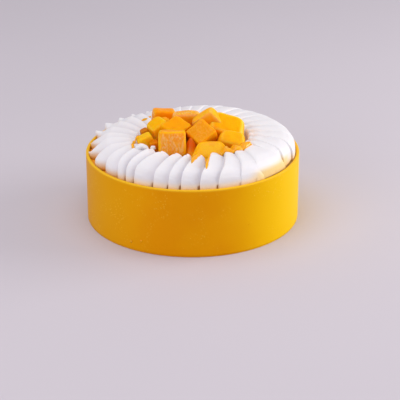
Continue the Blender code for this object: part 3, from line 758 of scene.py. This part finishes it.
def run_rings(way, widths, thickness, seed):
    """A thin run of juice. Each ring goes across the run over half an ellipse and back
    underneath; the way and the width are smooth curves through their given points."""
    share = (1 - np.cos(np.linspace(RUN_INSET, math.pi - RUN_INSET, RUN_ROWS))) / 2
    knots = np.linspace(0, 1, len(way))
    line = np.stack([eased(share, knots, np.array(way)[:, axis]) for axis in (0, 1)], -1)
    ahead_way = np.gradient(line, axis=0)
    ahead_way /= np.linalg.norm(ahead_way, axis=1)[:, None]
    beside = np.stack([-ahead_way[:, 1], ahead_way[:, 0]], -1)
    ends = np.sqrt(np.clip(1 - (2 * share - 1) ** RUN_BLUNT, RUN_END, 1))
    half = eased(share, knots, widths) * ends
    across = np.sin(np.linspace(-math.pi / 2, math.pi / 2, RUN_COLUMNS))
    stray = waves(np.column_stack([line, np.zeros(RUN_ROWS)]), WANDER_WAVE, seed)
    reach = across[None, :] * (half * (1 + RUN_WANDER * stray))[:, None]
    spots = line[:, None] + beside[:, None] * reach[..., None]
    ground = landed(spots.reshape(-1, 2), skin_points).reshape(RUN_ROWS, RUN_COLUMNS)
    depth = thickness * np.sqrt(1 - across ** 2)[None, :]
    depth = depth * np.minimum(1, half / RUN_FULL)[:, None]
    over = np.dstack([spots, ground + depth])
    under = np.dstack([spots, ground - RUN_SUNK])[:, ::-1][:, 1:-1]
    return np.concatenate([over, under], 1)


# Wet and thin, so that light glows through its two close oranges.
juice, tree, shader = new_material(
    "mango juice, thin and set", Roughness=0.22, Specular_IOR_Level=0.25, Coat_Weight=0.2,
    Coat_Roughness=0.06, Subsurface_Weight=0.5, Subsurface_Radius=(1.0, 0.5, 0.05),
    Subsurface_Scale=2 * MM)
where = add_node(tree, "TexCoord").outputs["Object"]
pulp = add_node(tree, "TexNoise", {"Vector": where, "Scale": per(3.1), "Detail": 3.0})
golden = add_node(tree, "Mix", {FACTOR: pulp.outputs[0], FIRST: srgb("#F29C08"),
                                SECOND: srgb("#FCB81C")}, data_type="RGBA")
tree.links.new(golden.outputs[MIXED], shader.inputs["Base Color"])

skin_points = np.vstack(skin)
for number, (name, way, widths, thickness) in enumerate(RUNS):
    rings = run_rings(way, widths, thickness, number + RUN_SEED)
    run = closed_surface(f"juice_{name}", rings, juice)
    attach(run, "root")

# Each bead's compass on the collar in degrees, its height there, and its half width.
BEADS = [(-123.9, 6.8, 0.95), (-117.8, 8.8, 0.80), (-96.0, 31.0, 0.35), (-60.0, 21.0, 0.4)]
BEAD_DEPTH = 0.6              # how far it stands out, as a share of its half width
BEAD_HEIGHT = 1.2             # and how tall it is
BEAD_CLEAR = 0.02             # its rim stands this far off the collar
BEAD_STEPS = 24
BEAD_ROWS = 9
BEAD_POLE = 0.05              # its first ring's angle from the pole

# Half an ellipsoid on +X, turned about Z to its compass.
for number, (compass, height, size) in enumerate(BEADS):
    turn, polar = np.meshgrid(np.linspace(0, math.tau, BEAD_STEPS + 1)[:-1],
                              np.linspace(BEAD_POLE, math.pi / 2, BEAD_ROWS))
    out = size * BEAD_DEPTH * np.cos(polar)
    bead = np.stack([COLLAR_RADIUS + BEAD_CLEAR + out, size * np.sin(polar) * np.cos(turn),
                     height + size * BEAD_HEIGHT * np.sin(polar) * np.sin(turn)], -1)
    aim = math.radians(compass)
    bead = np.stack([bead[..., 0] * math.cos(aim) - bead[..., 1] * math.sin(aim),
                     bead[..., 0] * math.sin(aim) + bead[..., 1] * math.cos(aim),
                     bead[..., 2]], -1)
    drop = closed_surface(f"juice_bead_{number + 1}", bead, juice)
    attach(drop, "root")


# Loose cream: a curl pulled up by the nozzle in front of the fruit and a crumb beside it,
# both of the ring's own cream, half sunk in what they lie on.
CURL_WAY = ((-40.6, -32.5, 61.8), (-40.2, -32.5, 65.0), (-37.4, -32.0, 66.6),
            (-34.4, -30.8, 64.8), (-33.4, -30.0, 61.0))
CURL_RADII = (1.8, 1.9, 2.1, 2.2, 2.1)
CURL_ROUGH = 0.2              # its surface strays by this much
CURL_WAVE = 3.0
CURL_SEED = 91
CURL_ROWS = 40
CRUMB_PLACE = (-28.9, -27.0, 63.4)
CRUMB_RADII = (2.1, 1.9, 1.7)
CRUMB_ROUGH = 0.25            # its surface strays by this share
CRUMB_WAVE = 1.4
CRUMB_SEED = 92
CRUMB_ROWS = 20
CRUMB_POLE = 0.08             # its first ring's angle from the pole
ROUND_COLUMNS = 24

# The curl is a round tube along a smooth curve through its points, and the crumb an ellipsoid,
# both roughened by waves.
share = np.linspace(0, 1, CURL_ROWS)
knots = np.linspace(0, 1, len(CURL_WAY))
line = np.stack([eased(share, knots, np.array(CURL_WAY)[:, axis]) for axis in range(3)], -1)
forward = np.gradient(line, axis=0)
forward /= np.linalg.norm(forward, axis=1)[:, None]
aside = np.broadcast_to((0.0, -1.0, 0.0), forward.shape)
lifted = np.cross(aside, forward)
turn = np.arange(ROUND_COLUMNS) / ROUND_COLUMNS * math.tau
thick = eased(share, knots, CURL_RADII)[:, None, None]
curl_rings = line[:, None] + thick * (np.cos(turn)[None, :, None] * aside[:, None]
                                      + np.sin(turn)[None, :, None] * lifted[:, None])
curl_rings = curl_rings + CURL_ROUGH * waves(curl_rings, CURL_WAVE, CURL_SEED)[..., None]
curl = closed_surface("cream_curl", curl_rings, cream)

polar = np.linspace(CRUMB_POLE, math.pi - CRUMB_POLE, CRUMB_ROWS)[:, None]
ball = np.stack([np.sin(polar) * np.cos(turn), np.sin(polar) * np.sin(turn),
                 np.broadcast_to(np.cos(polar), (CRUMB_ROWS, ROUND_COLUMNS))], -1)
rough = 1 + CRUMB_ROUGH * waves(ball, CRUMB_WAVE, CRUMB_SEED)[..., None]
crumb = closed_surface("cream_crumb", CRUMB_PLACE + ball * CRUMB_RADII * rough, cream)
for piece in (curl, crumb):
    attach(piece, "root")


# The floor and the light: a plain pale floor, a broad window of soft light low on the right,
# and pale walls all round.
FLOOR_SIZE = 6000.0

# Flat grey paint, barely mottled.
paint, tree, shader = new_material("matt floor paint", Roughness=0.85, Specular_IOR_Level=0.2)
where = add_node(tree, "TexCoord").outputs["Object"]
mottle = add_node(tree, "TexNoise", {"Vector": where, "Scale": per(330), "Detail": 3.0})
grey = add_node(tree, "Mix", {FACTOR: mottle.outputs[0], FIRST: srgb("#C9C3CA"),
                              SECOND: srgb("#CDC7CE")}, data_type="RGBA")
tree.links.new(grey.outputs[MIXED], shader.inputs["Base Color"])
half = FLOOR_SIZE / 2 * MM
floor_mesh = bpy.data.meshes.new("floor")
floor_mesh.from_pydata([(-half, -half, 0), (half, -half, 0), (half, half, 0), (-half, half, 0)],
                       [], [(0, 1, 2, 3)])
floor_mesh.materials.append(paint)
floor = bpy.data.objects.new("floor", floor_mesh)
bpy.context.scene.collection.objects.link(floor)


def soft_light(name, place, aim, size, power, colour):
    """A square area light at a place in metres, turned to face its aim: its size is its side in
    metres and its power is in watts."""
    lamp = bpy.data.lights.new(name, "AREA")
    lamp.size = size
    lamp.energy = power
    lamp.color = colour
    made = bpy.data.objects.new(name, lamp)
    made.location = place
    made.rotation_euler = (Vector(aim) - Vector(place)).to_track_quat("-Z", "Y").to_euler()
    bpy.context.scene.collection.objects.link(made)


soft_light("window", (1.08, 0.12, 0.29), (0, 0, 0.03), 0.8, 10.3, (1.0, 0.98, 0.97))
soft_light("white_wall", (-0.75, -0.9, 0.55), (0, 0, 0.03), 0.9, 3.9, (1.0, 0.98, 1.0))
soft_light("ceiling", (-0.2, -0.2, 1.6), (0, 0, 0.05), 1.6, 11.9, (1.0, 0.98, 1.0))
world = bpy.data.worlds.new("room")
world.use_nodes = True
room = world.node_tree.nodes["Background"]
room.inputs["Color"].default_value = (0.93, 0.90, 0.95, 1.0)
room.inputs["Strength"].default_value = 0.50
bpy.context.scene.world = world
bpy.context.scene.view_settings.view_transform = "Standard"

# The camera, a metre off and looking down on the cake's front.
CAMERA_PLACE = (0.0, -1.02226, 0.45815)
CAMERA_DOWN = 0.4133          # this and the next two are in radians
CAMERA_YAW = 0.0054
CAMERA_ROLL = -0.0016
CAMERA_LENS = 131.74          # millimetres, for the sensor's width
SENSOR = 36.0

ahead = Vector((math.sin(CAMERA_YAW) * math.cos(CAMERA_DOWN),
                math.cos(CAMERA_YAW) * math.cos(CAMERA_DOWN), -math.sin(CAMERA_DOWN)))
right = Vector((math.cos(CAMERA_YAW), -math.sin(CAMERA_YAW), 0.0))
up = right.cross(ahead)
facing = Matrix((right, up, -ahead)).transposed() @ Matrix.Rotation(CAMERA_ROLL, 3, "Z")
view = bpy.data.cameras.new("camera")
view.lens = CAMERA_LENS
view.sensor_width = SENSOR
view.clip_start = 0.05
camera = bpy.data.objects.new("camera", view)
camera.matrix_world = Matrix.Translation(CAMERA_PLACE) @ facing.to_4x4()
bpy.context.scene.collection.objects.link(camera)
bpy.context.scene.camera = camera
